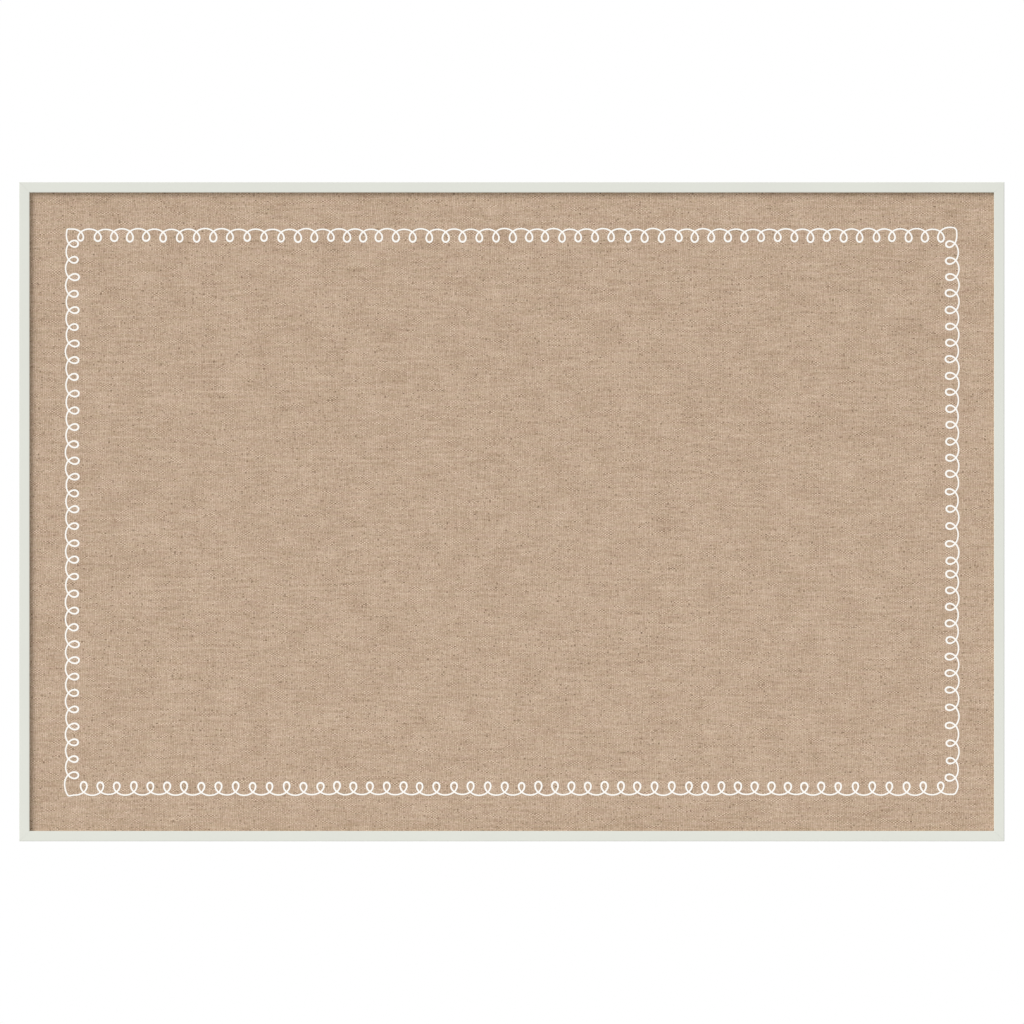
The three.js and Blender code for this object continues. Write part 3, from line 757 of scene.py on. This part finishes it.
# V-nails and retaining points
# Small stamped steel fixings at the back. A V-nail is driven across each mitre, just below the wood,
# and flat points are shot into the rebate to keep the panel in the frame.
for name, node in frame["nodes"].items():
    if name.startswith(("v_nail_", "retaining_point_")):
        dress(node, steel)

# Hangers
# Two D-ring hangers on the side battens. Each is a steel strap folded round the ring's bar and held
# by two pan-head screws, and the ring of bent wire swings on it.
strap_round = 0.16 * MM
shortest_strap_edge = 0.5 * MM
ring_wire = 1.1 * MM
ring_half_width = 9 * MM
ring_arm = 4.5 * MM
ring_corner = 2.5 * MM
corner_bends = 6
bow_bends = 32
wire_sides = 16
screw_sides = 32
screw_head = 2.75 * MM
screw_shank = 1.4 * MM
screw_head_height = 1.9 * MM
screw_length = 9 * MM
screw_tip = 3 * MM
recess_length = 3 * MM
recess_width = 0.7 * MM
recess_depth = 1 * MM
# The steps of a pan head: the share of its height that each takes, and how far it draws in
pan_head = ((0.5, 1), (0.25, 0.95), (0.15, 0.86), (0.1, 0.7))
near = 0.01 * MM


def hanger_ring(side):
    """The D-ring: a wire end pulled along the bar, then bent round the corners and the bow."""
    hinge = next(Vector(joint["pos_m"]) for joint in frame["joints"] if joint["child"] == "ring_" + side)
    bar = ring_half_width - ring_corner
    bpy.ops.object.select_all(action="DESELECT")
    bpy.ops.mesh.primitive_circle_add(
        vertices=wire_sides, radius=ring_wire, location=hinge, rotation=(0, math.pi / 2, 0))
    ring = bpy.context.active_object
    ring.name = "wire_ring_" + side
    bpy.ops.object.transform_apply(location=True, rotation=True, scale=True)
    bpy.ops.object.mode_set(mode="EDIT")
    bpy.ops.mesh.select_all(action="SELECT")
    pull((bar, 0, 0))
    bend(math.pi / 2, hinge + Vector((bar, 0, ring_corner)), (0, 1, 0), corner_bends)
    pull((0, 0, ring_arm - ring_corner))
    bend(math.pi, hinge + Vector((0, 0, ring_arm)), (0, 1, 0), bow_bends)
    pull((0, 0, ring_corner - ring_arm))
    bend(math.pi / 2, hinge + Vector((-bar, 0, ring_corner)), (0, 1, 0), corner_bends)
    pull((bar, 0, 0))
    bpy.ops.mesh.select_all(action="SELECT")
    bpy.ops.mesh.remove_doubles(threshold=near)
    bpy.ops.mesh.normals_make_consistent(inside=False)
    smooth(ring)
    return ring


def hanger_screw(node, name):
    """The screw: a disc drawn up into a pan head and down into a shank, with a crossed recess cut in it."""
    low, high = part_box(node)
    seat = high.y - screw_head_height
    axis = Vector(((low.x + high.x) / 2, seat, (low.z + high.z) / 2))
    cutters = []
    bpy.ops.object.select_all(action="DESELECT")
    for arms in ((recess_length, recess_width), (recess_width, recess_length)):
        bpy.ops.mesh.primitive_cube_add(size=1, location=axis + Vector((0, screw_head_height, 0)))
        cutters.append(bpy.context.active_object)
        cutters[-1].scale = (arms[0], 2 * recess_depth, arms[1])
        bpy.ops.object.transform_apply(location=True, rotation=True, scale=True)
        bpy.ops.object.select_all(action="DESELECT")
    bpy.ops.mesh.primitive_circle_add(
        vertices=screw_sides, radius=screw_head, fill_type="NGON", location=axis,
        rotation=(-math.pi / 2, 0, 0))
    screw = bpy.context.active_object
    screw.name = name
    bpy.ops.object.transform_apply(location=True, rotation=True, scale=True)
    bpy.ops.object.mode_set(mode="EDIT")
    bpy.ops.mesh.select_all(action="SELECT")
    for rise, narrow in pan_head:
        pull((0, rise * screw_head_height, 0))
        bpy.ops.transform.resize(value=(narrow, 1, narrow), center_override=axis)
    bpy.ops.mesh.select_mode(type="FACE")
    bpy.ops.mesh.select_all(action="DESELECT")
    mesh = bmesh.from_edit_mesh(screw.data)
    for face in mesh.faces:
        face.select_set(max(abs(corner.co.y - seat) for corner in face.verts) < near)
    bmesh.update_edit_mesh(screw.data)
    bpy.ops.mesh.inset(thickness=screw_head - screw_shank)
    pull((0, screw_tip - screw_length, 0))
    pull((0, -screw_tip, 0))
    bpy.ops.mesh.merge(type="CENTER")
    bpy.ops.mesh.select_all(action="SELECT")
    bpy.ops.mesh.normals_make_consistent(inside=False)
    bpy.ops.object.mode_set(mode="OBJECT")
    for cutter in cutters:
        recess = screw.modifiers.new("recess", "BOOLEAN")
        recess.object = cutter
        recess.operation = "DIFFERENCE"
        bpy.ops.object.modifier_apply(modifier=recess.name)
        bpy.data.objects.remove(cutter)
    smooth(screw)
    return screw


for side in ("left", "right"):
    strap = copy_of("hanger_strap_" + side, "folded_strap_" + side)
    soften(strap, strap_round, shortest_strap_edge)
    fix(strap, "board", "zinc_steel", steel, "hanger_strap_" + side)
    fix(hanger_ring(side), "ring_" + side, "zinc_steel", steel, "hanger_ring_" + side)
    for number in ("1", "2"):
        node = f"hanger_screw_{side}_{number}"
        fix(hanger_screw(node, f"pan_screw_{side}_{number}"), "board", "zinc_steel", steel, node)

# Wall bumpers
# Four moulded rubber feet with a rounded rim, stuck over the linen's corners. They keep the board off
# the wall and stop it from sliding.
bumper_rim = 1.4 * MM
bumper_sides = 48


def black_rubber():
    """Moulded rubber: near black and matt, with a faint bloom."""
    made, tree = new_material("moulded_rubber")
    place = add(tree, "TexCoord", {}).outputs["Object"]
    bloom_size = 1.2 * MM
    bloom = add(tree, "TexNoise", {"Vector": place, "Scale": 1 / bloom_size, "Detail": 3})
    tone = add(tree, "MixRGB", {"Fac": bloom, "Color1": colour("#262628"), "Color2": colour("#3a3a3c")})
    skin = add(tree, "Bump", {"Height": bloom, "Strength": 0.1, "Distance": 0.1 * MM})
    shader = add(tree, "BsdfPrincipled", {"Base Color": tone, "Roughness": 0.7, "Normal": skin})
    add(tree, "OutputMaterial", {"Surface": shader})
    return made


rubber = black_rubber()
for node in [name for name in frame["nodes"] if name.startswith("wall_bumper_")]:
    low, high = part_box(node)
    bpy.ops.object.select_all(action="DESELECT")
    bpy.ops.mesh.primitive_cylinder_add(
        vertices=bumper_sides, radius=(high.x - low.x) / 2, depth=high.y - low.y,
        location=(low + high) / 2, rotation=(-math.pi / 2, 0, 0))
    bumper = bpy.context.active_object
    bumper.name = "rubber_foot_" + node.removeprefix("wall_bumper_")
    bpy.ops.object.transform_apply(location=True, rotation=True, scale=True)
    bpy.ops.object.mode_set(mode="EDIT")
    pick_edges(bumper, lambda edge: all(abs(end.co.y - high.y) < near for end in edge.verts))
    bpy.ops.mesh.bevel(offset=bumper_rim, segments=5, affect="EDGES")
    smooth(bumper)
    fix(bumper, "board", "rubber", rubber, node)

# Studio
# A white surround, one wide soft lamp from the upper left in front, a weak one behind, and a pale
# floor well below the board, whose rim fades into the white.
floor_drop = 1.5
floor_radius = 2.2
floor_sides = 96
floor_fade_start = 0.5 * floor_radius
key_share = 0.46
key_way = Vector((-0.78, -1, 0.64)).normalized()
lamp_softness = math.radians(38)
back_way = Vector((0.6, 1, 0.7)).normalized()
back_share = 0.3
mottles_per_metre = 6

bpy.ops.object.select_all(action="DESELECT")
bpy.ops.mesh.primitive_circle_add(
    vertices=floor_sides, radius=floor_radius, fill_type="NGON", location=(0, 0, -floor_drop))
floor = bpy.context.active_object
floor.name = "studio_floor"
bpy.ops.object.transform_apply(location=True, rotation=True, scale=True)
pale_floor, tree = new_material("pale_floor")
place = add(tree, "TexCoord", {}).outputs["Object"]
level = add(tree, "VectorMath", {0: place, 1: (1, 1, 0)}, operation="MULTIPLY")
distance = add(tree, "VectorMath", {0: level}, operation="LENGTH").outputs["Value"]
rim = add(tree, "MapRange", {"Value": distance, "From Min": floor_fade_start, "From Max": floor_radius})
mottle = add(tree, "TexNoise", {"Vector": place, "Scale": mottles_per_metre, "Detail": 2})
ground = add(tree, "MixRGB", {"Fac": mottle, "Color1": colour("#ecece9"), "Color2": colour("#f1f1ee")})
matt = add(tree, "BsdfPrincipled", {"Base Color": ground, "Roughness": 0.9})
clear = add(tree, "BsdfTransparent", {})
faded = add(tree, "MixShader", {"Fac": rim, 1: matt, 2: clear})
add(tree, "OutputMaterial", {"Surface": faded})
dress(floor, pale_floor)

for name, way, share in (("key_lamp", key_way, key_share), ("back_lamp", back_way, back_share)):
    lamp = bpy.data.lights.new(name, "SUN")
    lamp.energy = share * math.pi / abs(way.y)
    lamp.angle = lamp_softness
    light = bpy.data.objects.new(name, lamp)
    light.rotation_mode = "QUATERNION"
    light.rotation_quaternion = way.to_track_quat("Z", "Y")
    bpy.context.scene.collection.objects.link(light)

surround = bpy.data.worlds.new("white_surround")
surround.use_nodes = True
tree = surround.node_tree
tree.nodes.clear()
rays = add(tree, "LightPath", {}).outputs
seen = add(tree, "Math", {0: rays["Is Camera Ray"], 1: rays["Is Glossy Ray"]}, operation="MAXIMUM")
shown = add(tree, "Math", {0: seen, 1: rays["Is Transmission Ray"]}, operation="MAXIMUM")
soft = add(tree, "Background", {"Color": (1, 1, 1, 1), "Strength": 1 - key_share})
white = add(tree, "Background", {"Color": (1, 1, 1, 1), "Strength": 1})
both = add(tree, "MixShader", {"Fac": shown, 1: soft, 2: white})
add(tree, "OutputWorld", {"Surface": both})
bpy.context.scene.world = surround
bpy.context.scene.view_settings.view_transform = "Standard"

# Camera
# Square on to the board, with a long lens, so that the frame fills the picture's width.
view_width = 950 * MM
view_middle = (0.17 * MM, -0.25 * MM)
lens = bpy.data.cameras.new("camera")
lens.lens = 600
camera = bpy.data.objects.new("camera", lens)
view_distance = view_width * lens.lens / lens.sensor_width
camera.location = (view_middle[0], cad_low.y - view_distance, view_middle[1])
camera.rotation_euler = (math.pi / 2, 0, 0)
bpy.context.scene.collection.objects.link(camera)
bpy.context.scene.camera = camera
